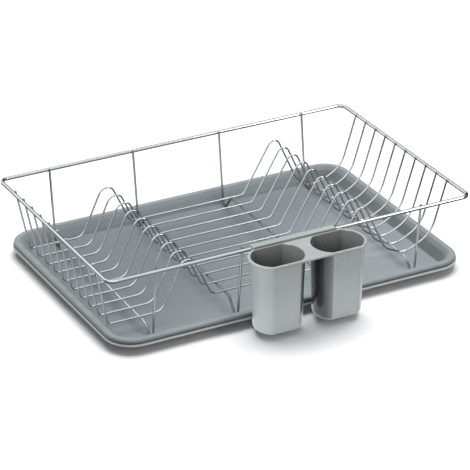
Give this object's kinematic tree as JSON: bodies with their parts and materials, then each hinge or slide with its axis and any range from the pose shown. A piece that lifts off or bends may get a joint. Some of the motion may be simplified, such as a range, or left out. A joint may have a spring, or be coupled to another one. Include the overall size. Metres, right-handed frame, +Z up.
{
  "type": "dish drying rack",
  "caption": "Chrome wire dish rack with a low and a tall hump and a bowl dip, standing in a grey drip tray, with a clip-on cutlery holder on the front rim.",
  "frame": {"origin": "centre of the flat underside of the drip tray", "axes": "+X along the rack towards the bowl dip, +Y towards the back, away from the cutlery holder, +Z up"},
  "size_m": [0.4866, 0.3745, 0.1012],
  "materials": {
    "chrome_wire": "polished",
    "tray_plastic": "satin",
    "cup_plastic": "semi-gloss"
  },
  "bodies": {
    "tray": {"drip_tray": "tray_plastic"},
    "rack": {"rim_frame": "chrome_wire", "rack_wire_01": "chrome_wire", "rack_wire_02": "chrome_wire", "rack_wire_03": "chrome_wire", "rack_wire_04": "chrome_wire", "rack_wire_05": "chrome_wire", "rack_wire_06": "chrome_wire", "rack_wire_07": "chrome_wire", "rack_wire_08": "chrome_wire", "rack_wire_09": "chrome_wire", "rack_wire_10": "chrome_wire", "cross_wire_1": "chrome_wire", "cross_wire_2": "chrome_wire", "cross_wire_3": "chrome_wire", "cross_wire_4": "chrome_wire"},
    "holder": {"cutlery_holder": "cup_plastic"}
  },
  "joints": [
    {"name": "rack_lift", "type": "slide", "parent": "tray", "child": "rack", "axis": [0, 0, 1], "range_m": [0, 0.12]},
    {"name": "holder_lift", "type": "slide", "parent": "rack", "child": "holder", "axis": [0, 0, 1], "range_m": [0, 0.06]}
  ]
}
